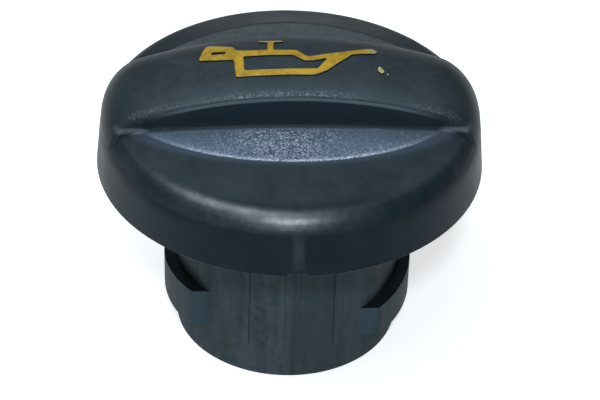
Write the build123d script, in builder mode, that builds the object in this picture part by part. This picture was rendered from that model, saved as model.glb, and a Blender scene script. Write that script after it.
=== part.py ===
"""Bayonet oil filler cap: a one-piece plastic moulding with a grip bar, and the rubber ring that seals it.

Lengths are in millimetres. The origin is the centre of the neck's lower end, on which the cap stands, and
+Z is up. The grip bar runs along X, and the front of the cap faces -Y.
"""
import os
from math import radians, tan

from build123d import *

# Head
head_diameter = 62.0  # across the lip of the skirt, before its edge is broken
skirt_draft = 5.5  # degrees
skirt_wall = 2.6
lip_chamfer = 0.25
notch_width = 3.6  # thumbnail notch in the lip, at the front
notch_height = 1.4
notch_depth = 0.9
pointer_width = 2.3  # wedge on the skirt above the notch
pointer_proud = 0.3  # at its lower end
pointer_reach = 7.0  # lip to its upper end, where it fades out

# Grip bar, a barrel-shaped ridge across the head
bar_height = 19.3  # lip to the top of the bar
bar_width = 16.9
bar_crown_radius = 80.0  # along the bar
bar_barrel_radius = 22.0  # across the bar, at its middle
bar_straight = 50.6  # the parallel stretch of its sides
bar_tip_radius = 4.0  # in plan, where a side turns out to the shoulder
bar_flare = 62.0  # degrees by which it turns
bar_end_radius = 8.0  # from the top down into the skirt
bar_inset = 0.05  # of its ends from the face of the skirt
bar_edge_radius = 0.7
bar_foot_radius = 1.0

# Rim, the lower slope in front of and behind the bar, with a scoop between
crest_reach = 19.5  # axis to the crest, square to the bar
crest_height = 13.19  # above the lip
crest_edge_radius = 0.9
rim_slope = 19.3  # degrees below the level
shoulder_radius = 4.2
scoop_foot_height = 11.8  # floor of the scoop beside the bar, above the lip
scoop_sag = 0.05  # of the floor, between its foot and the crest
scoop_crown_radius = 300.0  # of the floor, along the bar

# Neck
neck_diameter = 36.7
neck_length = 30.9  # lip down to the lower end
neck_wall = 2.5
neck_chamfer = 0.25
rib_proud = 0.3
middle_rib_width = 2.1
middle_rib_foot = 3.5  # above the lower end
side_rib_width = 1.2
side_rib_foot = 6.1
side_rib_angle = 23.5  # degrees either side of the middle rib

# Bayonet lugs
lug_diameter = 40.8
lug_thin_end = 5.6
lug_thin_reach = 14.5  # axis to its thin end, along the lug
lug_thin_foot = 5.5  # above the lower end
lug_thick_end = 7.2
lug_thick_reach = 12.8
lug_thick_foot = 6.3
lug_corner_radius = 0.9

# Hollow underside
seat_height = 8.0  # lip to the seat of the sealing ring, and to the ceiling of the bore
bore_chamfer = 1.2
core_wall = 3.0  # left at the sides of the bar by the pocket that hollows it
core_roof = 3.2
core_length = 24.0
core_corner_radius = 2.0

# Sealing ring
ring_diameter = 47.0
ring_thickness = 3.0
ring_clearance = 0.1  # round the neck
ring_chamfer = 0.7

half_bar = bar_width / 2
lip_radius = head_diameter / 2
bar_reach = lip_radius - bar_inset
neck_radius = neck_diameter / 2
bore_radius = neck_radius - neck_wall
lug_radius = lug_diameter / 2
ring_radius = ring_diameter / 2
ring_bore_radius = neck_radius + ring_clearance
notch_radius = (notch_width**2 / 4 + notch_height**2) / (2 * notch_height)
lip_level = neck_length
bar_top = lip_level + bar_height
crest_level = lip_level + crest_height
scoop_level = lip_level + scoop_foot_height
seat_level = lip_level + seat_height
barrel_level = bar_top - bar_barrel_radius  # axis of the barrel
blank_height = 2 * bar_height  # room above the head for the shapes that trim it
draft = tan(radians(skirt_draft))
slope = tan(radians(rim_slope))
flare = tan(radians(bar_flare))
rim_top_radius = (half_bar + crest_reach) / 2  # level top of the rim, hidden by the bar and the scoops
rim_top = crest_level + (crest_reach - rim_top_radius) * slope
upward = (Align.CENTER, Align.CENTER, Align.MIN)
above = (Align.CENTER, Align.MIN)

# Bar: a barrel trimmed by the skirt, rolled over at both ends, then narrowed to its plan
with BuildPart() as bar:
    with BuildSketch(Plane.XZ):
        with Locations((0, bar_top - bar_crown_radius)):
            Circle(bar_crown_radius)
        with Locations((0, barrel_level)):
            Rectangle(2 * head_diameter, bar_height + bar_barrel_radius, align=above, mode=Mode.INTERSECT)
    revolve(axis=Axis((0, 0, barrel_level), (1, 0, 0)))
    with Locations(Location((0, 0, lip_level), (0, 0, 90))):
        Cone(bar_reach, bar_reach - blank_height * draft, blank_height, align=upward, mode=Mode.INTERSECT)
        Box(2 * bar_width, head_diameter, blank_height, align=upward, mode=Mode.INTERSECT)
    fillet(bar.faces().filter_by(GeomType.CONE).edges().sort_by(Axis.Z)[-2:], bar_end_radius)
    with BuildSketch(Plane.XY.offset(lip_level)) as bar_plan:
        with BuildLine():
            Polyline(
                (0, 0),
                (0, -half_bar),
                (bar_straight / 2 + bar_tip_radius * tan(radians(bar_flare / 2)), -half_bar),
                (head_diameter, -half_bar - (head_diameter - bar_straight / 2) * flare),
                (head_diameter, 0),
                close=True,
            )
        make_face()
        fillet(bar_plan.vertices().group_by(Axis.Y)[-2].sort_by(Axis.X)[-1], bar_tip_radius)
        mirror(about=Plane.XZ)
        mirror(about=Plane.YZ)
    extrude(amount=blank_height, mode=Mode.INTERSECT)
    sides = bar.faces().filter_by(lambda face: abs(face.normal_at().Z) < 0.01)
    fillet(sides.edges().filter_by(GeomType.BSPLINE), bar_edge_radius)

# Rim: the round head without its bar, with a sloping top and a soft shoulder
with BuildPart() as rim:
    with BuildSketch(Plane.XZ) as rim_section:
        with BuildLine():
            Polyline(
                (0, lip_level),
                (lip_radius, lip_level),
                (lip_radius - blank_height * draft, lip_level + blank_height),
                (0, lip_level + blank_height),
                close=True,
            )
        make_face()
        with BuildLine():
            Polyline(
                (0, rim_top),
                (rim_top_radius, rim_top),
                (head_diameter, crest_level + (crest_reach - head_diameter) * slope),
                (head_diameter, lip_level + 2 * blank_height),
                (0, lip_level + 2 * blank_height),
                close=True,
            )
        make_face(mode=Mode.SUBTRACT)
        fillet(rim_section.vertices().sort_by(Axis.X)[-2], shoulder_radius)
    revolve(axis=Axis.Z)

# Scoops: what is cleared away above their hollow floors, on both sides of the bar
with BuildPart() as scoops:
    with BuildSketch(Plane.YZ) as scoop_section:
        with BuildLine():
            scoop_floor = SagittaArc((half_bar, scoop_level), (crest_reach, crest_level), -scoop_sag)
            run_out = Line(scoop_floor @ 1, scoop_floor @ 1 + scoop_floor % 1 * crest_reach)
            Polyline(
                run_out @ 1,
                (2 * crest_reach, lip_level + blank_height),
                (half_bar, lip_level + blank_height),
                scoop_floor @ 0,
            )
        make_face()
        fillet(scoop_section.vertices().group_by(Axis.X)[0].sort_by(Axis.Y)[0], bar_foot_radius)
    revolve(axis=Axis((0, 0, scoop_level - scoop_crown_radius), (0, 1, 0)))
    mirror(about=Plane.XZ)

# Lug: a bayonet wedge for one side of the neck, thickening away from the front
with BuildPart() as lug:
    with BuildSketch(Plane.YZ):
        with BuildLine():
            Polyline(
                (-lug_thin_reach, lug_thin_foot),
                (lug_thick_reach, lug_thick_foot),
                (lug_thick_reach, lug_thick_foot + lug_thick_end),
                (-lug_thin_reach, lug_thin_foot + lug_thin_end),
                close=True,
            )
        make_face()
    extrude(amount=lug_diameter)
    Cylinder(lug_radius, lip_level, align=upward, mode=Mode.INTERSECT)
    fillet(lug.edges().filter_by(Axis.Z).sort_by(Axis.X)[-2:], lug_corner_radius)

# Core: the pocket that hollows the bar from below
with BuildPart() as core:
    with BuildSketch(Plane.XY.offset(lip_level)):
        RectangleRounded(core_length, bar_width - 2 * core_wall, core_corner_radius)
    extrude(amount=bar_height)
    with Locations((0, 0, barrel_level)):
        Cylinder(bar_barrel_radius - core_roof, head_diameter, rotation=(0, 90, 0), mode=Mode.INTERSECT)

# Hollow: the bore of the neck with the core above it
with BuildPart() as hollow:
    Cylinder(bore_radius, seat_level, align=upward)
    chamfer(hollow.edges().group_by(Axis.Z)[-1], bore_chamfer)
    add(core.part)

# Cap body: the head with its bar, and the neck below it with its ribs and lugs, all hollow underneath
with BuildPart() as cap_body:
    add(rim.part)
    add(scoops.part, mode=Mode.SUBTRACT)
    crests = cap_body.edges().filter_by(lambda edge: abs(edge.center().Z - crest_level) < crest_edge_radius)
    fillet(crests.group_by(Axis.Y)[0] + crests.group_by(Axis.Y)[-1], crest_edge_radius)
    add(bar.part)
    with BuildSketch(Plane.XZ) as recess_section:
        with BuildLine():
            Polyline(
                (neck_radius, lip_level),
                (lip_radius - skirt_wall, lip_level),
                (lip_radius - skirt_wall - seat_height * draft, seat_level),
                (neck_radius, seat_level),
                close=True,
            )
        make_face()
        chamfer(recess_section.vertices().sort_by(Axis.X)[-2], shoulder_radius - skirt_wall)
    revolve(axis=Axis.Z, mode=Mode.SUBTRACT)
    lip_edges = cap_body.edges().group_by(Axis.Z)[0].filter_by(lambda edge: edge.radius > ring_radius)
    chamfer(lip_edges, lip_chamfer)
    with BuildSketch(Plane.YZ):
        with BuildLine():
            Polyline(
                (-lip_radius - pointer_proud, lip_level + lip_chamfer),
                (pointer_reach * draft - lip_radius, lip_level + pointer_reach),
                (skirt_wall / 2 - lip_radius + pointer_reach * draft, lip_level + pointer_reach),
                (skirt_wall / 2 - lip_radius, lip_level + lip_chamfer),
                close=True,
            )
        make_face()
    extrude(amount=pointer_width / 2, both=True)
    with BuildSketch(Plane.XZ.offset(lip_radius - notch_depth)):
        with Locations((0, lip_level + notch_height - notch_radius)):
            Circle(notch_radius)
    extrude(amount=2 * (notch_depth + pointer_proud), mode=Mode.SUBTRACT)
    Cylinder(neck_radius, neck_length, align=upward)
    with BuildSketch(Plane.XY.offset(middle_rib_foot)):
        with PolarLocations(neck_radius, 2, start_angle=90):
            Rectangle(2 * rib_proud, middle_rib_width)
    extrude(amount=lip_level - middle_rib_foot)
    with BuildSketch(Plane.XY.offset(side_rib_foot)):
        with PolarLocations(neck_radius, 2, start_angle=90 - side_rib_angle):
            Rectangle(2 * rib_proud, side_rib_width)
        with PolarLocations(neck_radius, 2, start_angle=90 + side_rib_angle):
            Rectangle(2 * rib_proud, side_rib_width)
    extrude(amount=lip_level - side_rib_foot)
    with PolarLocations(0, 2):
        add(lug.part)
    add(hollow.part, mode=Mode.SUBTRACT)
    chamfer(cap_body.edges().group_by(Axis.Z)[0], neck_chamfer)

# Sealing ring: a flat rubber washer, seated under the head round the neck
with BuildPart() as sealing_ring:
    with BuildSketch(Plane.XZ) as ring_section:
        with Locations((ring_bore_radius, seat_level)):
            Rectangle(ring_radius - ring_bore_radius, ring_thickness, align=(Align.MIN, Align.MAX))
        chamfer(ring_section.vertices().group_by(Axis.Y)[0], ring_chamfer)
    revolve(axis=Axis.Z)

os.makedirs("parts", exist_ok=True)
cap_body.part.label = "cap_body"
export_step(cap_body.part, "parts/cap_body.step")
sealing_ring.part.label = "sealing_ring"
export_step(sealing_ring.part, "parts/sealing_ring.step")
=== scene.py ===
# %% [markdown]
# # An oil filler cap
# The object is the cap of an engine's oil filler, which locks with a short turn: a round head with a
# barrel-shaped grip bar, a neck with two bayonet lugs, and a rubber ring under the head. The CAD model
# already has its shapes and its size, so this lesson loads that model first and then works on what the
# eye sees: the camera, the light, the plastic, the rubber and the painted oil-can sign. All lengths in
# Blender are in metres.

# %% Load the CAD model as the fixed frame
import math

import bpy
from mathutils import Matrix, Vector


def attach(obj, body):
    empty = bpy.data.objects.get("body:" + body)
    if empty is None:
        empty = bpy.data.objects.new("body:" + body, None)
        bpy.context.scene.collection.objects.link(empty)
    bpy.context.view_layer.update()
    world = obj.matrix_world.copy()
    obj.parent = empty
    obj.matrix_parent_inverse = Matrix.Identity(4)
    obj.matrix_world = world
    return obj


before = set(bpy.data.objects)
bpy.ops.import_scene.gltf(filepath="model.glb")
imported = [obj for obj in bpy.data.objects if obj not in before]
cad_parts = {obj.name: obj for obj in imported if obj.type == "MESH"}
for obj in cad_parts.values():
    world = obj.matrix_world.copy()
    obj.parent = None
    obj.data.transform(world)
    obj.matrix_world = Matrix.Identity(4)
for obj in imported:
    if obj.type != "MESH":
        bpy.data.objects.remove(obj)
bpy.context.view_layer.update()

MM = 0.001
scene = bpy.context.scene
scene.view_settings.view_transform = "Standard"

# %% [markdown]
# ## The camera
# The photograph looks down on the cap at about 36 degrees, from a little to the left of the front, with a
# long lens and a slight roll. A camera could be placed by eye, but the outlines of the head, the bar and
# the neck fix it well, so its place, its aim and its roll are written down as they were measured.

# %% Place the camera
CAMERA_PLACE = Vector((-16.8, -291.32, 241.74)) * MM
CAMERA_AIM = Vector((1.61, -4.28, 25.36)) * MM
CAMERA_ROLL = 1.8  # degrees
CAMERA_LENS = 133.97  # millimetres
CAMERA_SENSOR = 36.0  # millimetres, across
CAMERA_NEAR = 0.01


def aimed(place, aim, roll=0.0):
    """A matrix that stands at place and looks at aim, with a roll in degrees about the line of sight."""
    turn = (aim - place).to_track_quat("-Z", "Y").to_matrix().to_4x4()
    return Matrix.Translation(place) @ turn @ Matrix.Rotation(math.radians(roll), 4, "Z")


camera = bpy.data.objects.new("camera", bpy.data.cameras.new("camera"))
camera.data.lens = CAMERA_LENS
camera.data.sensor_width = CAMERA_SENSOR
camera.data.clip_start = CAMERA_NEAR
camera.matrix_world = aimed(CAMERA_PLACE, CAMERA_AIM, CAMERA_ROLL)
scene.collection.objects.link(camera)
scene.camera = camera
print("camera", [round(v, 4) for v in camera.location])

# %% [markdown]
# ## Node helpers
# Every finish below is a small graph of nodes. Written out node by node that would fill pages, so a few
# helpers do the wiring: one adds a node and sets or links its inputs, the others add the nodes that come
# up most. An input is given by its name or its number, and a value that is itself a socket is linked.


# %% Helpers that add and wire nodes
def put(tree, kind, inputs=None, **settings):
    """Adds a node, applies its settings, and sets each input, or links it where the value is a socket."""
    node = tree.nodes.new(kind)
    for name, value in settings.items():
        setattr(node, name, value)
    for key, value in (inputs or {}).items():
        if isinstance(value, bpy.types.NodeSocket):
            tree.links.new(value, node.inputs[key])
        else:
            node.inputs[key].default_value = value
    return node


def calc(tree, operation, *values):
    """The result of one Math node."""
    return put(tree, "ShaderNodeMath", dict(enumerate(values)), operation=operation).outputs[0]


def larger(tree, a, b):
    """The larger of two values."""
    return calc(tree, "MAXIMUM", a, b)


def new_material(name):
    """A material that holds only its Principled BSDF and its output."""
    material = bpy.data.materials.new(name)
    material.use_nodes = True
    return material, material.node_tree, material.node_tree.nodes["Principled BSDF"]


print("node helpers ready")

# %% [markdown]
# ## Floor and background
# The photograph has a plain white ground. A floor lit up to white would need far too much light on a dark
# cap, so the floor is a pale matt sheet that adds a little white of its own, only for rays that come from
# the camera or from a reflection. It still keeps the shadow of the cap. The world is a plain soft grey,
# which fills the shadows a little.

# %% Mix the floor's paint
WHITE = (1.0, 1.0, 1.0, 1.0)
FLOOR_COLOUR = (0.76, 0.76, 0.76, 1.0)
FLOOR_ROUGHNESS = 0.95
FLOOR_LIFT = 0.62


def seen_directly(tree):
    """1 for rays from the camera, from a reflection or through glass, and 0 for diffuse light."""
    path = tree.nodes.new("ShaderNodeLightPath").outputs
    seen = larger(tree, path["Is Camera Ray"], path["Is Glossy Ray"])
    return larger(tree, seen, path["Is Transmission Ray"])


floor_paint, tree, surface = new_material("floor_paint")
surface.inputs["Base Color"].default_value = FLOOR_COLOUR
surface.inputs["Roughness"].default_value = FLOOR_ROUGHNESS
surface.inputs["Specular IOR Level"].default_value = 0.0
surface.inputs["Emission Color"].default_value = WHITE
tree.links.new(calc(tree, "MULTIPLY", seen_directly(tree), FLOOR_LIFT), surface.inputs["Emission Strength"])
print("material", floor_paint.name)

# %% Lay the floor and set the world
FLOOR_HALF = 0.8
WORLD_LIGHT = 0.11

floor_mesh = bpy.data.meshes.new("floor")
corners = [(sx * FLOOR_HALF, sy * FLOOR_HALF, 0.0) for sx, sy in ((-1, -1), (1, -1), (1, 1), (-1, 1))]
floor_mesh.from_pydata(corners, [], [(0, 1, 2, 3)])
floor_mesh.materials.append(floor_paint)
floor = bpy.data.objects.new("floor", floor_mesh)
scene.collection.objects.link(floor)

world = bpy.data.worlds.new("studio")
world.use_nodes = True
background = world.node_tree.nodes["Background"]
background.inputs["Color"].default_value = WHITE
background.inputs["Strength"].default_value = WORLD_LIGHT
scene.world = world
print("floor", 2 * FLOOR_HALF, "m, world light", WORLD_LIGHT)

# %% [markdown]
# ## Light
# The head throws a shadow about 13 mm down the neck, and the lip stands 13 mm out from it, so the small
# main lamp stands at about 46 degrees, in front and just above the camera. A tall box below it stretches
# the bright patch on the shoulder downwards, and boxes overhead and at the left draw its long tail. A
# weak one behind keeps the back readable. One large lamp would be simpler, but it would wash out both the
# shadow and the patch.

# %% Place the lamps
LAMPS = {
    # name: azimuth and elevation (degrees), width and height (metres), power (watts)
    "key_lamp": (-2.0, 46.0, 0.08, 0.09, 3.7),
    "front_box": (-5.0, 21.0, 0.22, 0.48, 1.5),
    "top_box": (-42.0, 70.0, 0.64, 0.32, 3.4),
    "left_box": (-82.0, 60.0, 0.40, 0.30, 1.4),
    "back_box": (170.0, 58.0, 0.50, 0.40, 0.25),
}
LAMP_DISTANCE = 0.9
LAMP_COLOUR = (0.80, 0.92, 1.0)
LAMP_AIM = Vector((0.0, 0.0, 0.035))

for name, (azimuth, elevation, width, height, power) in LAMPS.items():
    light = bpy.data.lights.new(name, "AREA")
    light.shape = "RECTANGLE"
    light.size = width
    light.size_y = height
    light.energy = power
    light.color = LAMP_COLOUR
    lamp = bpy.data.objects.new(name, light)
    a = math.radians(azimuth)
    e = math.radians(elevation)
    towards = Vector((math.sin(a) * math.cos(e), -math.cos(a) * math.cos(e), math.sin(e)))
    lamp.matrix_world = aimed(LAMP_AIM + towards * LAMP_DISTANCE, LAMP_AIM)
    scene.collection.objects.link(lamp)
print("lamps", len(LAMPS))

# %% [markdown]
# ## Moulded surface
# Plastic that comes out of a steel mould is never one flat colour. The steel leaves a fine grain, the
# melt leaves flow lines, handling leaves a cloudy bloom and short scratches, and a coarse skin breaks up
# into pits and specks, with glints that are painted highlights. They show on the cap and, a little
# differently, on its rubber ring and its paint. They could be painted as images, but noise on Object
# coordinates needs no unwrapping and keeps its scale, so one shader group makes them and each material
# uses those it needs.


# %% Helpers for masks and groups
def step(tree, value, low, high):
    """A soft step that goes from 0 where value is low to 1 where it is high. Low may be above high."""
    if low > high:
        return calc(tree, "SUBTRACT", 1.0, step(tree, value, high, low))
    inputs = {"Value": value, "From Min": low, "From Max": high}
    return put(tree, "ShaderNodeMapRange", inputs, interpolation_type="SMOOTHSTEP").outputs[0]


def millimetres(tree):
    """The place on the piece, in millimetres."""
    place = put(tree, "ShaderNodeTexCoord").outputs["Object"]
    return put(tree, "ShaderNodeVectorMath", {0: place, "Scale": 1.0 / MM}, operation="SCALE").outputs[0]


def shader_group(name, inputs):
    """An empty shader node group with its inputs, all of them numbers, and its two end nodes."""
    group = bpy.data.node_groups.new(name, "ShaderNodeTree")
    for title, value in inputs.items():
        socket = group.interface.new_socket(name=title, in_out="INPUT", socket_type="NodeSocketFloat")
        socket.default_value = value
    group.nodes.new("NodeGroupInput")
    group.nodes.new("NodeGroupOutput")
    return group


def give(group, outputs):
    """Adds outputs to a group, each with its title and the value that it puts out."""
    for title, value in outputs.items():
        group.interface.new_socket(name=title, in_out="OUTPUT", socket_type="NodeSocketFloat")
        group.links.new(value, group.nodes["Group Output"].inputs[title])


print("mask and group helpers ready")

# %% Add the noises of the moulded surface
SCRATCH_TURN = 0.35  # radians about the upright axis
SCRATCH_STRETCH = (0.18, 2.6, 1.2)
FLOW_STRETCH = (0.5, 0.5, 0.05)
MOTTLES_PER_MM = 0.75
SCRATCHES_PER_MM = 1.6
FLOW_LINES_PER_MM = 1.0
GLINTS_PER_MM = 5.2
SPECKS_PER_MM = 8.5

mould_skin = shader_group("Mould Skin", {"Grain Size": 0.12, "Bloom Size": 6.0, "Seed": 0.0})
tree = mould_skin
skin_inputs = tree.nodes["Group Input"].outputs
place = millimetres(tree)


def noise(vector, per_mm, **more):
    """A noise with so many bumps to a millimetre, moved on by the group's seed."""
    inputs = {"Vector": vector, "W": skin_inputs["Seed"], "Scale": per_mm, **more}
    return put(mould_skin, "ShaderNodeTexNoise", inputs, noise_dimensions="4D").outputs[0]


def chance(per_mm):
    """One random number for each cell of a pattern with so many cells to a millimetre."""
    cells = put(mould_skin, "ShaderNodeTexVoronoi", {"Vector": place, "Scale": per_mm}).outputs["Color"]
    return put(mould_skin, "ShaderNodeSeparateColor", {0: cells}).outputs[0]


drawn = {"Vector": place, "Rotation": (0.0, 0.0, SCRATCH_TURN), "Scale": SCRATCH_STRETCH}
along_hand = put(tree, "ShaderNodeMapping", drawn).outputs[0]
upright = put(tree, "ShaderNodeMapping", {"Vector": place, "Scale": FLOW_STRETCH}).outputs[0]
grains_per_mm = calc(tree, "DIVIDE", 1.0, skin_inputs["Grain Size"])
blooms_per_mm = calc(tree, "DIVIDE", 1.0, skin_inputs["Bloom Size"])
grain = noise(place, grains_per_mm, Detail=3.0)
bloom = noise(place, blooms_per_mm, Detail=4.0, Roughness=0.6, Distortion=0.4)
mottle = noise(place, MOTTLES_PER_MM, Detail=2.0)
scratches = noise(along_hand, SCRATCHES_PER_MM, Detail=5.0, Roughness=0.7)
flow = noise(upright, FLOW_LINES_PER_MM, Detail=3.0)
glints = chance(GLINTS_PER_MM)
specks = chance(SPECKS_PER_MM)
print("noises in", mould_skin.name, len(mould_skin.nodes), "nodes")

# %% Sharpen the noises into masks and put them out
SKIN_MASKS = {
    # title: the noise, its value where the mask is empty, its value where the mask is full
    "Bloom": (bloom, 0.32, 0.68),
    "Mottle": (mottle, 0.36, 0.64),
    "Scratches": (scratches, 0.60, 0.74),
    "Flow": (flow, 0.36, 0.64),
    # Glint and Speck pick the cells that get painted glints, which are painted highlights on the skin
    "Glint": (glints, 0.62, 0.85),
    "Pit": (glints, 0.34, 0.12),
    "Speck": (specks, 0.66, 0.94),
}

give(mould_skin, {"Grain": grain})
give(mould_skin, {title: step(tree, *limits) for title, limits in SKIN_MASKS.items()})
print("shader group", mould_skin.name, len(mould_skin.nodes), "nodes")

# %% [markdown]
# ## Zones of the moulding
# The cap is one piece, but its mould was not finished alike all over. The floor of the front finger scoop
# and the crest around it have a coarse spark-eroded skin that looks frosted, the long edge of the bar is
# rubbed by hands, the shoulder is polished, and the neck is plain and dull. The glints on that skin and the
# highlights on the crest, the edge, the tips and the pointer are painted light, and so is the painted shade
# at the foot of the scoop, above the shoulder and on the lugs. A few more zones only lift or deepen the
# colour where the photograph is paler or darker than plain plastic under these lamps, as painted light
# and shade. The zones could be vertex colours, but the triangles of the CAD mesh are too large for a soft
# border. The same rules that shape the head give them exactly: a point is in a scoop where the scoop's
# floor lies below the sloping rim.

# %% Measure where a point lies on the cap
LIP = 30.9  # millimetres from the floor to the lip of the head
HALF_BAR = 8.45
SPARKLE_MIDDLE = 1.8  # millimetres to the left of the middle
TIP_HEIGHT = 11.2  # of the tips of the front scoop, above the lip

head_zones = shader_group("Head Zones", {})
tree = head_zones
x, y, z = put(tree, "ShaderNodeSeparateXYZ", {0: millimetres(tree)}).outputs
normal = put(tree, "ShaderNodeTexCoord").outputs["Normal"]
up = put(tree, "ShaderNodeSeparateXYZ", {0: normal}).outputs[2]
height = calc(tree, "SUBTRACT", z, LIP)
past_bar = calc(tree, "SUBTRACT", calc(tree, "ABSOLUTE", y), HALF_BAR)
x_squared = calc(tree, "MULTIPLY", x, x)
y_squared = calc(tree, "MULTIPLY", y, y)
radius = calc(tree, "SQRT", calc(tree, "ADD", x_squared, y_squared))
measures = {
    "x": x,
    "y": y,
    "up": up,
    "tilt": calc(tree, "ABSOLUTE", up),
    "height": height,
    "past_bar": past_bar,
    "radius": radius,
    "along": calc(tree, "ABSOLUTE", x),
    "off_middle": calc(tree, "ABSOLUTE", calc(tree, "ADD", x, SPARKLE_MIDDLE)),
    "off_tips": calc(tree, "ABSOLUTE", calc(tree, "SUBTRACT", height, TIP_HEIGHT)),
}
print("measures", ", ".join(measures))

# %% Measure how far a point is inside a scoop
SCOOP_FOOT = 11.8
SCOOP_RAMP = 0.1077  # rise of the scoop's floor per millimetre, at its foot
SCOOP_HOLLOW = 305.0  # radius of the floor, square to the bar
SCOOP_CROWN = 300.0  # radius of the floor, along the bar
CREST_REACH = 19.5
CREST_HEIGHT = 13.19
RIM_SLOPE = 0.3502
CREST_GRADE = 0.43  # how fast rim and floor part for each millimetre away from the crest

ramp = calc(tree, "MULTIPLY_ADD", past_bar, SCOOP_RAMP, SCOOP_FOOT)
hollow = calc(tree, "DIVIDE", calc(tree, "MULTIPLY", past_bar, past_bar), 2 * SCOOP_HOLLOW)
fall = calc(tree, "DIVIDE", x_squared, 2 * SCOOP_CROWN)
scoop_floor = calc(tree, "SUBTRACT", calc(tree, "ADD", ramp, hollow), fall)
rim_height = calc(tree, "MULTIPLY_ADD", radius, -RIM_SLOPE, CREST_HEIGHT + CREST_REACH * RIM_SLOPE)
inside = calc(tree, "DIVIDE", calc(tree, "SUBTRACT", rim_height, scoop_floor), CREST_GRADE)
measures["inside"] = inside
measures["from_crest"] = calc(tree, "SUBTRACT", inside, fall)
measures["off_floor"] = calc(tree, "ABSOLUTE", calc(tree, "SUBTRACT", height, scoop_floor))
print("measures", ", ".join(measures))

# %% Measure how far a point is below the barrel of the bar
BAR_HEIGHT = 19.3
BAR_CROWN = 80.0  # radius along the bar
BAR_BARREL = 22.0  # radius across the bar


def barrel_arch(tree, along_squared, across_squared, crown, barrel):
    """The height of the barrel's surface above the barrel's axle."""
    crown_squared = calc(tree, "MULTIPLY", crown, crown)
    profile = calc(tree, "SQRT", calc(tree, "SUBTRACT", crown_squared, along_squared))
    girth = calc(tree, "ADD", calc(tree, "SUBTRACT", profile, crown), barrel)
    girth_squared = calc(tree, "MULTIPLY", girth, girth)
    return calc(tree, "SQRT", calc(tree, "SUBTRACT", girth_squared, across_squared))


arch = barrel_arch(tree, x_squared, y_squared, BAR_CROWN, BAR_BARREL)
bar_surface = calc(tree, "ADD", arch, BAR_HEIGHT - BAR_BARREL)
measures["below_bar"] = calc(tree, "SUBTRACT", bar_surface, height)
print("measures", ", ".join(measures))

# %% [markdown]
# Each zone is now a product of soft limits. A limit names a measure, the value where the zone is empty
# and the value where it is full, in millimetres, or for up and tilt as a share of the surface's normal.
# Cutting the mesh into pieces would also give zones, but with hard borders.


# %% Helpers for zones
def product(tree, *values):
    """All the values multiplied together."""
    total = values[0]
    for value in values[1:]:
        total = calc(tree, "MULTIPLY", total, value)
    return total


def zone(*limits, within=()):
    """A mask that is full where every limit is met, inside other masks where those are given."""
    masks = [step(head_zones, measures[name], *ends) for name, *ends in limits]
    return product(head_zones, *within, *masks)


print("zone helpers ready")

# %% Find the front scoop and its crest
HALO_SHARE = 0.35  # of the frost that spills over the crest, with painted light fading out from the crest's highlight

front = zone(("y", 1.0, -1.0))
on_floor = zone(("height", 8.6, 9.4), ("off_floor", 1.3, 0.7))
bowl = zone(("past_bar", -0.05, 0.0), within=[on_floor, front])
dish = zone(("past_bar", 0.2, 1.1), within=[bowl])
scoop = zone(("from_crest", -0.2, 0.4), within=[dish])
crest = zone(("from_crest", -0.1, 0.25), ("from_crest", 1.1, 0.45), ("along", 23.0, 9.0), within=[dish])
halo = zone(("inside", -1.2, 0.4), ("along", 30.0, 20.0), within=[dish])
rear_scoop = zone(("past_bar", 0.0, 0.6), ("inside", -0.4, 0.6), ("y", -1.0, 1.0), within=[on_floor])
# a painted highlight where the rim curves up into the bar at the tips of the front scoop
tip_highlight = zone(
    ("along", 22.0, 24.0), ("along", 28.8, 26.0), ("past_bar", -1.7, -0.9), ("past_bar", 0.9, 0.3),
    ("off_tips", 0.75, 0.1), within=[front],
)
give(head_zones, {
    "Scoop": scoop,
    "Crest": crest,
    "Halo": product(tree, halo, HALO_SHARE),
    "Off Foot": zone(("past_bar", 0.3, 6.0)),
    "Near Crest": zone(("inside", 3.5, 0.3)),
    "Ends": zone(("off_middle", 13.5, 27.0)),
    "Rear Scoop": rear_scoop,
    "Tip Highlight": tip_highlight,
})
print("scoop zones,", len(head_zones.nodes), "nodes so far")

# %% [markdown]
# The frosted floor glitters most in its middle and beside its crest, and the rear scoop hardly does.
# Facets could be modelled, but they are far finer than the triangles of the mesh, so a mask says how much
# a place glints, and the material later paints the single glints, as painted highlights, with the random
# cells of Mould Skin.


# %% Find where the scoops glint
def spread(tree, value, low, high):
    """A mask from 0 to 1 turned into a value from low to high."""
    return put(tree, "ShaderNodeMapRange", {"Value": value, "To Min": low, "To Max": high}).outputs[0]


# how many painted glints each place gets
MIDDLE_SPARKLE = (0.16, 0.85)  # at the ends and in the middle of the front scoop
CREST_SPARKLE = 0.7
REAR_SPARKLE = 0.03

in_middle = spread(tree, zone(("off_middle", 13.0, 1.0)), *MIDDLE_SPARKLE)
by_crest = zone(("inside", 4.5, 0.5), ("along", 21.0, 11.0), within=[CREST_SPARKLE])
floor_sparkle = zone(("past_bar", 0.0, 2.0), within=[scoop, larger(tree, in_middle, by_crest)])
rear_sparkle = product(tree, rear_scoop, REAR_SPARKLE)
give(head_zones, {"Sparkle": larger(tree, larger(tree, floor_sparkle, crest), rear_sparkle)})
print("sparkle zone,", len(head_zones.nodes), "nodes so far")

# %% [markdown]
# The front edge of the bar is pale, partly rubbed by hands and partly a painted highlight, with a thin
# painted highlight line and a few painted glints along it. The round of the CAD model already catches the
# light there, but worn plastic is paler in itself. A pointiness mask would find all edges alike, so the
# height below the barrel and the distance to the wall pick out this one. The wall and the top of the bar
# get masks too, for painted light that makes both paler.

# %% Find the edge, the wall and the top of the bar
EDGE_WEAR_AND_SHEEN = 0.28  # of the pale colour, partly wear and partly painted highlight, beside the painted highlight line
EDGE_GLINTS = 0.26
END_GLINTS = 0.09

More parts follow.
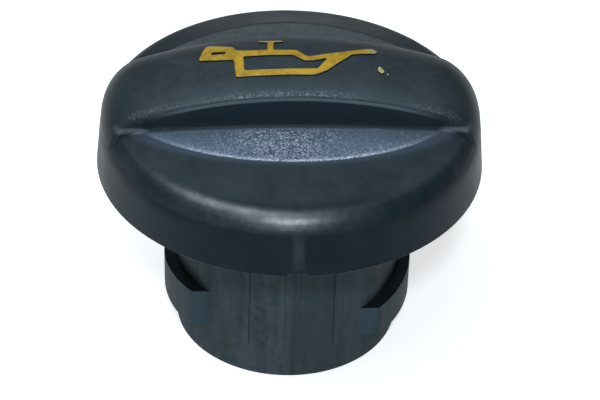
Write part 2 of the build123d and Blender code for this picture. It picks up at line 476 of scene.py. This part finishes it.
edge = zone(
    ("past_bar", -4.6, 0.0), ("past_bar", 0.3, 0.1), ("below_bar", 0.85, 0.55), ("along", 25.0, 14.0),
    within=[front],
)
# a painted highlight line along the round of the edge
edge_highlight_line = zone(
    ("past_bar", -0.3, -0.15), ("past_bar", 0.3, 0.1), ("below_bar", 0.3, 0.45), ("below_bar", 1.1, 0.8),
    ("along", 24.0, 15.0), within=[front],
)
# painted glints along the edge and at its ends
edge_glints = zone(
    ("past_bar", -1.5, -0.25), ("past_bar", 0.0, -0.2), ("off_middle", 16.0, 5.0), within=[edge, EDGE_GLINTS]
)
end_glints = zone(
    ("along", 14.0, 20.0), ("along", 27.5, 24.0), ("past_bar", -1.6, -0.6), ("past_bar", 0.3, -0.3),
    ("below_bar", 1.6, 0.8), within=[front, END_GLINTS],
)
give(head_zones, {
    "Edge": larger(tree, product(tree, edge, EDGE_WEAR_AND_SHEEN), edge_highlight_line),
    "Edge Glints": larger(tree, edge_glints, end_glints),
    # painted light: the front wall of the bar and the flares at its tips are painted paler
    "Lit Wall": zone(("up", 0.35, 0.15), ("height", 9.5, 10.5), ("along", 27.0, 20.0), within=[front]),
    # painted light: the top of the bar is painted paler still than the rest that faces the sky
    "Bar Top": zone(("past_bar", 0.0, -0.4), ("height", 11.0, 12.5), ("along", 27.0, 17.0)),
})
print("bar zones,", len(head_zones.nodes), "nodes so far")

# %% [markdown]
# What faces the sky is painted lighter, as painted light from above. The polished round of the shoulder
# and a ring above it, the rear slope and the foot of the scoop get less of it, as painted shade, and the
# tips of the scoops get some more. The lamps alone could be tuned for that, but this light follows the
# shape, so the upward part of the normal is the better guide.

# %% Find what faces the sky, for painted light and shade
SHADE_RING_MIDDLE = 0.5  # shares of the painted light from above that are taken out, as painted shade, on the shoulder and on the rear slope
SHADE_RING_ROUND = 0.65
REAR_SLOPE_SHADE = 0.4
TIP_LIGHT = 0.6  # share of the painted light from above at the tips of the scoops

shade_ring_middle = zone(("radius", 25.8, 27.8), ("along", 17.0, 9.0), within=[SHADE_RING_MIDDLE])
shade_ring_round = zone(("radius", 27.9, 28.9), within=[SHADE_RING_ROUND])
shoulder_shade_ring = zone(("past_bar", 0.0, 2.0), within=[larger(tree, shade_ring_middle, shade_ring_round), front])
rear_slope_shade = zone(("y", 9.0, 14.0), ("radius", 29.0, 27.5), within=[REAR_SLOPE_SHADE])
open_sky = calc(tree, "SUBTRACT", 1.0, larger(tree, shoulder_shade_ring, rear_slope_shade))
lit_from_above = zone(("up", 0.1, 0.85), within=[open_sky])
scoop_foot_shade = zone(("past_bar", 1.0, 0.5), within=[bowl])
tips = zone(("along", 22.5, 25.5), ("height", 7.5, 9.0), within=[TIP_LIGHT])
# Top: painted light from above, less the painted shade, plus the tips
give(head_zones, {"Top": larger(tree, calc(tree, "SUBTRACT", lit_from_above, scoop_foot_shade), tips)})
print("sky zone,", len(head_zones.nodes), "nodes so far")

# %% Find the shoulder, its painted sheen, the painted reflections on the flanks and the pointer's painted highlight
POINTER_HALF = 1.15
POINTER_HIGHLIGHT_FADE = (0.35, 1.0)  # at the lip and at the pointer's upper end
FLANK_REFLECTION_SIDES = (1.0, 0.5)  # at the left and at the right
SHEEN_SIDES = (0.06, 0.07)  # at the right and at the left

pointer_highlight_fade = spread(tree, zone(("height", 0.0, 5.5)), *POINTER_HIGHLIGHT_FADE)
flank_reflection_side = spread(tree, zone(("x", 5.0, 25.0)), *FLANK_REFLECTION_SIDES)
sheen_side = spread(tree, zone(("x", 6.0, -6.0)), *SHEEN_SIDES)
give(head_zones, {
    "Shoulder": zone(
        ("radius", 27.2, 28.3), ("up", 0.15, 0.62), ("past_bar", 0.0, 1.5), ("height", 3.0, 5.0),
        ("x", -31.0, -12.0), ("x", 17.0, 1.0), within=[front],
    ),
    # a painted sheen on the shoulder, strongest at its left, where its highlight fades out
    "Painted Sheen": zone(
        ("radius", 25.2, 27.0), ("radius", 28.8, 27.6), ("along", 7.0, 14.0), ("along", 28.0, 19.0),
        ("past_bar", 0.5, 3.0), within=[front, sheen_side],
    ),
    # a painted reflection of the pale floor on the sides of the skirt
    "Flank Reflection": zone(("along", 12.0, 25.0), ("height", 6.6, 5.6), within=[flank_reflection_side]),
    # a painted highlight on the pointer rib, palest just below the shoulder's highlight
    "Pointer Highlight": zone(
        ("along", POINTER_HALF + 0.1, POINTER_HALF - 0.8), ("height", 10.0, 4.5), ("height", 0.0, 0.3),
        ("y", -26.5, -29.0), within=[pointer_highlight_fade],
    ),
})
print("head zones,", len(head_zones.nodes), "nodes so far")

# %% [markdown]
# Below the head, the neck is dull and streaked. Two cam-ramped lugs stand out from it, and their tops and
# the corner above them lie in deep shade. Dimmer lamps would deepen that too, but the whole neck with it,
# so the height above the sloping top of a lug gives the shade a mask of its own.

# %% Measure how far a point is above a lug
LUG_THIN_TOP = 11.1  # of a lug at its thin end, above the floor
LUG_THIN_REACH = 14.5  # from the middle of the cap to that end, square to the bar
LUG_RISE = 0.0879  # per millimetre along the lug
SHADE_FRONT = -13.0  # where the shade above a lug starts
SHADE_DEPTH = 1.0  # of the shade there
SHADE_GROWTH = 0.5  # per millimetre towards the back

along_lug = calc(tree, "MULTIPLY_ADD", y, calc(tree, "SIGN", x), LUG_THIN_REACH)
lug_level = calc(tree, "MULTIPLY_ADD", along_lug, LUG_RISE, LUG_THIN_TOP)
shade_depth = calc(tree, "MULTIPLY_ADD", y, SHADE_GROWTH, SHADE_DEPTH - SHADE_FRONT * SHADE_GROWTH)
measures["above_lug"] = calc(tree, "SUBTRACT", z, lug_level)
measures["into_shade"] = calc(tree, "SUBTRACT", shade_depth, measures["above_lug"])
print("measures", ", ".join(measures))

# %% Find the neck, its lugs, its middle rib and the panels beside it, where light and shade are painted
LUG_TOP_SHADE_SHARE = (0.1, 0.85)  # behind and at the front
LUG_END_LIGHT_SHARE = 0.55
LUG_SHADE_SHARE = 0.8

below_seat = zone(("height", -3.0, -5.0))
lug_top_shade_share = spread(tree, zone(("y", -4.0, -11.0)), *LUG_TOP_SHADE_SHARE)
# the end faces of the lugs are painted paler and bluer, as painted light
lug_end_light = zone(
    ("radius", 18.45, 18.7), ("radius", 20.38, 20.2), ("tilt", 0.3, 0.1), ("along", 9.0, 11.0),
    within=[below_seat, LUG_END_LIGHT_SHARE],
)
give(head_zones, {
    "Neck": zone(("height", 0.3, -0.3)),
    # painted shade on the tops of the lugs, deepest at the front
    "Lug Top Shade": zone(("up", 0.35, 0.6), within=[below_seat, lug_top_shade_share]),
    "Lug End Light": lug_end_light,
    "Lug Shade": zone(
        ("into_shade", -0.5, 2.5), ("above_lug", -0.3, 0.0), ("radius", 18.9, 18.6), ("along", 12.4, 13.2),
        ("y", 3.0, -7.0), within=[LUG_SHADE_SHARE],
    ),
    # painted shade on the right side of the middle rib, painted light on the left panel and painted shade
    # on the right
    "Rib Shade": zone(("x", -0.1, 0.2), ("x", 0.8, 0.5), ("y", 0.0, -1.0)),
    "Left Panel Light": zone(("x", -9.0, -6.0), ("x", -0.5, -1.5), ("y", 0.0, -1.0)),
    "Right Panel Shade": zone(("x", 1.2, 2.2), ("x", 9.0, 7.0), ("y", 0.0, -1.0)),
})
print("shader group", head_zones.name, len(head_zones.nodes), "nodes")

# %% [markdown]
# ## Cap plastic
# The cap is moulded in a blue-black plastic with a satin skin. A plain dark Principled BSDF would look
# like a hole in the picture, so colours are laid over one another like thin coats of paint, each through
# a mask from the two groups: first the plain head, then the neck, then the frosted scoop with its pits
# and painted glints. Many of these coats are painted light and shade, not colours of the plastic.


# %% Helpers for coats of colour
def tint(tree, factor, a, b):
    """A colour that goes from a, where factor is 0, to b, where it is 1. Inputs 6 and 7 take colours."""
    return put(tree, "ShaderNodeMix", {0: factor, 6: a, 7: b}, data_type="RGBA").outputs[2]


def coats(tree, colour, *layers):
    """Lays colours over a colour, each through one mask or through several masks multiplied together."""
    for *masks, over in layers:
        colour = tint(tree, product(tree, *masks), colour, over)
    return colour


print("coat helpers ready")

# %% Mix the plain plastic of the head
PLASTIC = (0.0036, 0.0088, 0.0138, 1.0)
PLASTIC_BLOOM = (0.0078, 0.0142, 0.0200, 1.0)
PLASTIC_WALL_LIT = (0.0130, 0.0215, 0.0300, 1.0)
PLASTIC_FLANK_REFLECTION = (0.0160, 0.0230, 0.0280, 1.0)
PLASTIC_TOP_LIT = (0.0305, 0.0405, 0.0465, 1.0)
PLASTIC_BAR_LIT = (0.0425, 0.0535, 0.0590, 1.0)
PLASTIC_SCUFF = (0.045, 0.056, 0.062, 1.0)
# the rear scoop's frost, painted lighter as well to lift the shadow that the bar casts on it
REAR_FROST_AND_LIGHT = (0.080, 0.092, 0.094, 1.0)
CLOUD_BLOOM = (0.55, 0.85)  # between blooms and in them
CLOUD_MOTTLE = (0.04, 0.18)  # between mottles and in them
SCUFF_SHARE = 0.3

cap_plastic, plastic_tree, plastic_surface = new_material("satin_cap_plastic")
tree = plastic_tree
skin = put(tree, "ShaderNodeGroup", node_tree=mould_skin).outputs
zones = put(tree, "ShaderNodeGroup", node_tree=head_zones).outputs
bloom_cloud = spread(tree, skin["Bloom"], *CLOUD_BLOOM)
clouds = calc(tree, "ADD", bloom_cloud, spread(tree, skin["Mottle"], *CLOUD_MOTTLE))
head_colour = coats(
    tree,
    tint(tree, skin["Bloom"], PLASTIC, PLASTIC_BLOOM),
    # painted light on the wall of the bar
    (zones["Lit Wall"], PLASTIC_WALL_LIT),
    # painted reflection on the flanks of the skirt
    (zones["Flank Reflection"], PLASTIC_FLANK_REFLECTION),
    # painted light on what faces the sky, paler still on the top of the bar
    (zones["Top"], clouds, tint(tree, zones["Bar Top"], PLASTIC_TOP_LIT, PLASTIC_BAR_LIT)),
    (zones["Rear Scoop"], clouds, REAR_FROST_AND_LIGHT),
    (skin["Scratches"], SCUFF_SHARE, PLASTIC_SCUFF),
)
print("material", cap_plastic.name, "head colours")

# %% Lay the colours of the neck, the lugs, the rubbed places and the painted light and shade over it
NECK_PLASTIC = (0.030, 0.042, 0.046, 1.0)
NECK_FLOW = (0.051, 0.066, 0.075, 1.0)
LUG_END_LIGHT = (0.031, 0.057, 0.074, 1.0)
LUG_TOP_SHADE = (0.0015, 0.003, 0.004, 1.0)
PALE_WEAR_AND_SHEEN = (0.090, 0.112, 0.128, 1.0)
FLOW_SHARE = 0.65
MOTTLE_SHARE = 0.35
STREAKS = {
    # zone: how strong the streaks are beside it and on it, where below 0 means none; they paint the rib's
    # right side darker, the left panel lighter and the right panel darker, as painted light and shade
    "Rib Shade": (1.0, -0.5),
    "Left Panel Light": (1.0, 1.6),
    "Right Panel Shade": (1.0, 0.5),
}
POINTER_HIGHLIGHT_SHARE = 0.2

flow_lines = product(tree, skin["Flow"], FLOW_SHARE)
streaks = calc(tree, "ADD", flow_lines, product(tree, skin["Mottle"], MOTTLE_SHARE))
for title, strengths in STREAKS.items():
    streaks = product(tree, streaks, spread(tree, zones[title], *strengths))
# the bar's edge is partly worn and partly painted highlight, and the pointer's colour is a painted
# highlight
rubbed = larger(tree, zones["Edge"], product(tree, zones["Pointer Highlight"], POINTER_HIGHLIGHT_SHARE))
body_colour = coats(
    tree,
    head_colour,
    (zones["Neck"], tint(tree, streaks, NECK_PLASTIC, NECK_FLOW)),
    # painted light on the end faces of the lugs
    (zones["Lug End Light"], LUG_END_LIGHT),
    # painted shade on the lug tops and on the neck above them
    (larger(tree, zones["Lug Top Shade"], zones["Lug Shade"]), LUG_TOP_SHADE),
    # wear and painted sheen on the edge, the pointer and the shoulder
    (larger(tree, rubbed, zones["Painted Sheen"]), PALE_WEAR_AND_SHEEN),
)
print("material", cap_plastic.name, "neck colours")

# %% Lay the frosted scoop over it
FROST_FOOT_SHADE = (0.072, 0.096, 0.126, 1.0)
FROST = (0.108, 0.142, 0.205, 1.0)
FROST_RIM_LIGHT = (0.138, 0.174, 0.240, 1.0)
CREST_WEAR_AND_HIGHLIGHT = (0.33, 0.39, 0.47, 1.0)
TIP_HIGHLIGHT = (0.155, 0.175, 0.195, 1.0)
PIT = (0.012, 0.022, 0.036, 1.0)
PAINTED_GLINT = (0.72, 0.78, 0.86, 1.0)
CREST_PAINTED_GLINT = (0.88, 0.91, 0.95, 1.0)
ENDS_SHARE = 0.7
PIT_SHARE = 0.8
TIP_HIGHLIGHT_SHARE = 0.6
CREST_PITS = (0.85, 0.2)  # beside a pit and in it
GLINT_SHARE = 0.6
CREST_GLINT_SHARE = 0.7

# the frost is painted darker near the foot of the bar, as painted shade, and lighter near the crest, as
# painted light
frost = coats(
    tree,
    tint(tree, zones["Off Foot"], FROST_FOOT_SHADE, FROST),
    (zones["Near Crest"], FROST_RIM_LIGHT),
    (zones["Ends"], ENDS_SHARE, PLASTIC_TOP_LIT),
    (skin["Pit"], zones["Sparkle"], PIT_SHARE, PIT),
)
cap_colour = coats(
    tree,
    body_colour,
    (zones["Halo"], FROST),
    # painted highlight at the tips of the front scoop
    (zones["Tip Highlight"], TIP_HIGHLIGHT_SHARE, TIP_HIGHLIGHT),
    (zones["Scoop"], frost),
    # the crest's bright line: worn pale, and a painted highlight along its round
    (zones["Crest"], spread(tree, skin["Pit"], *CREST_PITS), CREST_WEAR_AND_HIGHLIGHT),
    # painted glints: painted highlights on the frosted skin, along the bar's edge and on the crest
    (zones["Sparkle"], skin["Glint"], GLINT_SHARE, PAINTED_GLINT),
    (zones["Edge Glints"], skin["Speck"], PAINTED_GLINT),
    (zones["Crest"], skin["Speck"], CREST_GLINT_SHARE, CREST_PAINTED_GLINT),
)
tree.links.new(cap_colour, plastic_surface.inputs["Base Color"])
print("material", cap_plastic.name, "frosted colours")

# %% [markdown]
# The shine comes last. Only the shoulder is polished, so a clear coat covers it through a mask, a little
# blotchy. A higher specular level all over would be simpler, but it would mirror the white floor and turn
# the dark skirt grey. The grain goes into a Bump node, because it is far too fine to be modelled.

# %% Set the shine and the grain, and give the plastic to the cap body
SATIN = (0.38, 0.46)  # roughness between blooms and in them
NECK_DULL = 0.7
DULL_ROUGHNESS = 0.25
PLASTIC_SPECULAR = 0.08
COAT_MOTTLE = (0.68, 1.0)  # between mottles and in them
COAT_ROUGHNESS = 0.36
COAT_IOR = 1.7
GRAIN_DEPTH = 0.05 * MM
PLASTIC_GRAIN = 0.12


def add_grain(tree, surface, grain, strength):
    """Bumps a surface with the moulded grain."""
    bump = put(tree, "ShaderNodeBump", {"Strength": strength, "Distance": GRAIN_DEPTH, "Height": grain})
    tree.links.new(bump.outputs[0], surface.inputs["Normal"])


dull = larger(tree, zones["Scoop"], product(tree, zones["Neck"], NECK_DULL))
rough = calc(tree, "ADD", spread(tree, skin["Bloom"], *SATIN), product(tree, dull, DULL_ROUGHNESS))
gloss = product(tree, zones["Shoulder"], spread(tree, skin["Mottle"], *COAT_MOTTLE))
tree.links.new(rough, plastic_surface.inputs["Roughness"])
tree.links.new(gloss, plastic_surface.inputs["Coat Weight"])
plastic_surface.inputs["Specular IOR Level"].default_value = PLASTIC_SPECULAR
plastic_surface.inputs["Coat Roughness"].default_value = COAT_ROUGHNESS
plastic_surface.inputs["Coat IOR"].default_value = COAT_IOR
add_grain(tree, plastic_surface, skin["Grain"], PLASTIC_GRAIN)
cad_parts["cap_body"].data.materials[0] = cap_plastic
print("cap body in", cap_plastic.name, len(tree.nodes), "nodes")

# %% [markdown]
# ## Sealing ring
# The ring under the head is black rubber, duller than the plastic. It could share the plastic's material,
# but rubber has a coarser grain and a closer bloom of its own, so it uses the same group with other
# values.

# %% Mix the rubber and give it to the ring
RUBBER = (0.014, 0.014, 0.015, 1.0)
RUBBER_BLOOM = (0.035, 0.035, 0.036, 1.0)
RUBBER_SKIN = {"Grain Size": 0.2, "Bloom Size": 3.0, "Seed": 5.0}
RUBBER_ROUGHNESS = (0.62, 0.82)  # between grains and on them
RUBBER_SPECULAR = 0.3
RUBBER_GRAIN = 0.2

seal_rubber, tree, surface = new_material("black_seal_rubber")
skin = put(tree, "ShaderNodeGroup", RUBBER_SKIN, node_tree=mould_skin).outputs
tree.links.new(tint(tree, skin["Bloom"], RUBBER, RUBBER_BLOOM), surface.inputs["Base Color"])
tree.links.new(spread(tree, skin["Grain"], *RUBBER_ROUGHNESS), surface.inputs["Roughness"])
surface.inputs["Specular IOR Level"].default_value = RUBBER_SPECULAR
add_grain(tree, surface, skin["Grain"], RUBBER_GRAIN)
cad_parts["sealing_ring"].data.materials[0] = seal_rubber
print("sealing ring in", seal_rubber.name)

# %% [markdown]
# ## Oil-can sign
# The sign on the bar is the common symbol for engine oil: a can with a handle, a filler stem and a spout
# with a drop. It is a low relief on the moulding with yellow paint rolled over its top. A flat picture
# would float on the curved bar, so the outline is drawn once in plan, and Geometry Nodes round its
# corners, fill it, raise it and lay it on the barrel. The same two radii as in the CAD model shape the
# barrel, so the relief sits on it everywhere.

# %% Draw the outline of the sign
CAN = [
    (-13.4, 4.85), (-12.8, 5.05), (-9.25, 3.55), (-8.8, 2.3), (-7.1, 1.85), (-3.85, 1.7), (-3.7, 4.45),
    (-5.2, 4.8), (-5.15, 5.1), (-1.2, 4.95), (-1.25, 4.65), (-2.8, 4.35), (-2.95, 1.65), (0.7, 1.45),
    (1.4, 0.65), (2.0, -0.15), (2.7, -0.35), (4.1, 0.1), (8.2, 1.6), (9.5, 2.2), (12.7, 3.65),
    (13.5, 2.95), (13.1, 2.1), (10.6, 1.4), (9.25, 0.9), (8.55, -0.1), (6.8, -1.95), (5.35, -3.5),
    (3.7, -4.5), (2.8, -4.7), (-4.9, -4.7), (-8.85, -4.6), (-9.05, -2.45), (-9.15, -0.5), (-11.9, -0.1),
    (-14.6, 0.45), (-14.1, 2.8),
]
HANDLE_HOLE = [(-12.5, 2.55), (-10.25, 2.1), (-10.6, 1.4), (-12.75, 1.65)]
CAN_HOLE = [
    (-7.7, 0.2), (-3.3, 0.15), (0.1, 0.05), (1.0, -0.75), (1.8, -1.4), (3.0, -1.4), (4.6, -0.85),
    (5.7, -0.35), (4.9, -1.6), (3.8, -3.3), (1.65, -3.4), (-3.1, -3.45), (-7.6, -3.35),
]
DROP = [(13.45, -1.05), (13.85, -1.85), (14.3, -2.6), (14.05, -3.1), (13.55, -3.05), (13.25, -2.5)]
CHIP = [(14.55, -2.8), (14.95, -3.1), (14.8, -3.7), (14.6, -3.3)]

outline = bpy.data.curves.new("can_outline", "CURVE")
outline.dimensions = "2D"
for points in (CAN, HANDLE_HOLE, CAN_HOLE, DROP, CHIP):
    spline = outline.splines.new("POLY")
    spline.points.add(len(points) - 1)
    for point, (px, py) in zip(spline.points, points):
        point.co = (px * MM, py * MM, 0.0, 1.0)
    spline.use_cyclic_u = True
sign_drawing = bpy.data.objects.new("can_drawing", outline)
scene.collection.objects.link(sign_drawing)
print("outline splines", len(outline.splines))

# %% [markdown]
# The paint is a warm yellow, thin and pale at the tip of the spout and along the top of the stem, where
# it has begun to wear off. One flat colour would look printed, so the same group that clouds the plastic
# clouds it too.

# %% Mix the yellow paint
PAINT = (0.56, 0.345, 0.030, 1.0)
PAINT_DARK = (0.36, 0.210, 0.022, 1.0)
PAINT_PALE = (0.46, 0.440, 0.260, 1.0)
PAINT_WORN = (0.080, 0.075, 0.050, 1.0)
PAINT_SKIN = {"Bloom Size": 1.6, "Seed": 2.0}
PAINT_ROUGHNESS = 0.5
PAINT_SPECULAR = 0.3
SPOUT_TIP = (11.0, 13.5)  # millimetres along the bar
STEM_TOP = (4.3, 4.9)  # millimetres across the bar
PALE_SHARE = 0.6
PALE_WEAR = 0.5
SCRATCH_WEAR = 0.25

sign_paint, tree, surface = new_material("yellow_sign_paint")
skin = put(tree, "ShaderNodeGroup", PAINT_SKIN, node_tree=mould_skin).outputs
along, across, _ = put(tree, "ShaderNodeSeparateXYZ", {0: millimetres(tree)}).outputs
pale = larger(tree, step(tree, along, *SPOUT_TIP), step(tree, across, *STEM_TOP))
worn = larger(tree, product(tree, pale, PALE_WEAR), product(tree, skin["Scratches"], SCRATCH_WEAR))
paint_colour = coats(
    tree,
    tint(tree, skin["Bloom"], PAINT_DARK, PAINT),
    (pale, PALE_SHARE, PAINT_PALE),
    (worn, skin["Pit"], PAINT_WORN),
)
tree.links.new(paint_colour, surface.inputs["Base Color"])
surface.inputs["Roughness"].default_value = PAINT_ROUGHNESS
surface.inputs["Specular IOR Level"].default_value = PAINT_SPECULAR
print("material", sign_paint.name)

# %% [markdown]
# The node tree rounds and fills the outline, raises it into a closed shell, and moves each point of the
# shell up onto the barrel. A Shrinkwrap modifier could press the sign onto the CAD mesh instead, but it
# would copy that mesh's flat facets into the relief. The barrel's own rule is exact, and its radii are
# named inputs of the tree, like the other sizes.

# %% Begin the node tree of the sign with its named inputs
SIGN_SIZES = {
    "Corner Radius": 0.22 * MM,
    "Point Spacing": 0.30 * MM,
    "Relief": 0.28 * MM,
    "Sink": 0.12 * MM,
    "Crown Radius": BAR_CROWN * MM,
    "Barrel Radius": BAR_BARREL * MM,
    "Bar Top": (LIP + BAR_HEIGHT) * MM,
}

relief_tree = bpy.data.node_groups.new("Sign On Barrel", "GeometryNodeTree")
interface = relief_tree.interface
interface.new_socket(name="Outline", in_out="INPUT", socket_type="NodeSocketGeometry")
for title, value in SIGN_SIZES.items():
    interface.new_socket(name=title, in_out="INPUT", socket_type="NodeSocketFloat").default_value = value
for title in ("Paint", "Plastic"):
    interface.new_socket(name=title, in_out="INPUT", socket_type="NodeSocketMaterial")
interface.new_socket(name="Sign", in_out="OUTPUT", socket_type="NodeSocketGeometry")
given = relief_tree.nodes.new("NodeGroupInput").outputs
print("node tree", relief_tree.name, "with inputs", [socket.name for socket in given if socket.name])

# %% Round, fill and raise the outline into a closed shell
CORNER_STEPS = 3
WELD = 0.001 * MM

tree = relief_tree
rounding = {
    "Curve": given["Outline"],
    "Radius": given["Corner Radius"],
    "Count": CORNER_STEPS,
    "Limit Radius": True,
}
rounded = put(tree, "GeometryNodeFilletCurve", rounding, mode="POLY").outputs[0]
spacing = {"Curve": rounded, "Length": given["Point Spacing"]}
even = put(tree, "GeometryNodeResampleCurve", spacing, mode="LENGTH").outputs[0]
sheet = put(tree, "GeometryNodeFillCurve", {"Curve": even}, mode="TRIANGLES").outputs[0]
thickness = calc(tree, "ADD", given["Relief"], given["Sink"])
lift = put(tree, "ShaderNodeCombineXYZ", {"Z": thickness}).outputs[0]
pull = {"Mesh": sheet, "Offset": lift, "Offset Scale": 1.0, "Individual": False}
raised = put(tree, "GeometryNodeExtrudeMesh", pull).outputs
mark = {"Geometry": raised["Mesh"], "Name": "painted", "Value": raised["Top"]}
marked = put(tree, "GeometryNodeStoreNamedAttribute", mark, data_type="BOOLEAN", domain="FACE").outputs[0]
under = put(tree, "GeometryNodeFlipFaces", {"Mesh": sheet}).outputs[0]
shell = put(tree, "GeometryNodeJoinGeometry")
for part in (under, marked):
    tree.links.new(part, shell.inputs[0])
welded = {"Geometry": shell.outputs[0], "Distance": WELD}
closed = put(tree, "GeometryNodeMergeByDistance", welded).outputs[0]
print("node tree", relief_tree.name, len(tree.nodes), "nodes so far")

# %% Lay the shell on the barrel and paint its top
position = put(tree, "GeometryNodeInputPosition").outputs[0]
sx, sy, sz = put(tree, "ShaderNodeSeparateXYZ", {0: position}).outputs
sx_squared = calc(tree, "MULTIPLY", sx, sx)
sy_squared = calc(tree, "MULTIPLY", sy, sy)
arch = barrel_arch(tree, sx_squared, sy_squared, given["Crown Radius"], given["Barrel Radius"])
axle = calc(tree, "SUBTRACT", given["Bar Top"], given["Barrel Radius"])
bar_surface = calc(tree, "ADD", axle, arch)
level = calc(tree, "SUBTRACT", calc(tree, "ADD", bar_surface, sz), given["Sink"])
seat = put(tree, "ShaderNodeCombineXYZ", {"X": sx, "Y": sy, "Z": level}).outputs[0]
laid = put(tree, "GeometryNodeSetPosition", {"Geometry": closed, "Position": seat}).outputs[0]
real = put(tree, "GeometryNodeRealizeInstances", {0: laid}).outputs[0]
bare = put(tree, "GeometryNodeSetMaterial", {"Geometry": real, "Material": given["Plastic"]}).outputs[0]
top = put(tree, "GeometryNodeInputNamedAttribute", {"Name": "painted"}, data_type="BOOLEAN").outputs
brush = {"Geometry": bare, "Selection": top["Attribute"], "Material": given["Paint"]}
painted = put(tree, "GeometryNodeSetMaterial", brush).outputs[0]
tree.links.new(painted, tree.nodes.new("NodeGroupOutput").inputs[0])
print("node tree", relief_tree.name, len(tree.nodes), "nodes")

# %% [markdown]
# The tree now grows the sign from its drawing. The result is copied to a plain mesh, because the export
# takes plain meshes, and the drawing goes. The filled curve brings an empty material slot, which is taken
# out.

# %% Make the sign a plain mesh on the cap
growth = sign_drawing.modifiers.new("relief", "NODES")
growth.node_group = relief_tree
sockets = {item.name: item.identifier for item in interface.items_tree if item.in_out == "INPUT"}
for title, value in {**SIGN_SIZES, "Paint": sign_paint, "Plastic": cap_plastic}.items():
    growth[sockets[title]] = value
graph = bpy.context.evaluated_depsgraph_get()
sign_mesh = bpy.data.meshes.new_from_object(sign_drawing.evaluated_get(graph))
sign_mesh.name = "can_sign"
sign_mesh.materials.pop(index=0)
sign = bpy.data.objects.new("can_sign", sign_mesh)
scene.collection.objects.link(sign)
bpy.data.objects.remove(sign_drawing)
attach(sign, "root")
indices = sorted({polygon.material_index for polygon in sign_mesh.polygons})
used = [sign_mesh.materials[index].name for index in indices]
print("sign", len(sign_mesh.vertices), "points", len(sign_mesh.polygons), "faces in", used)
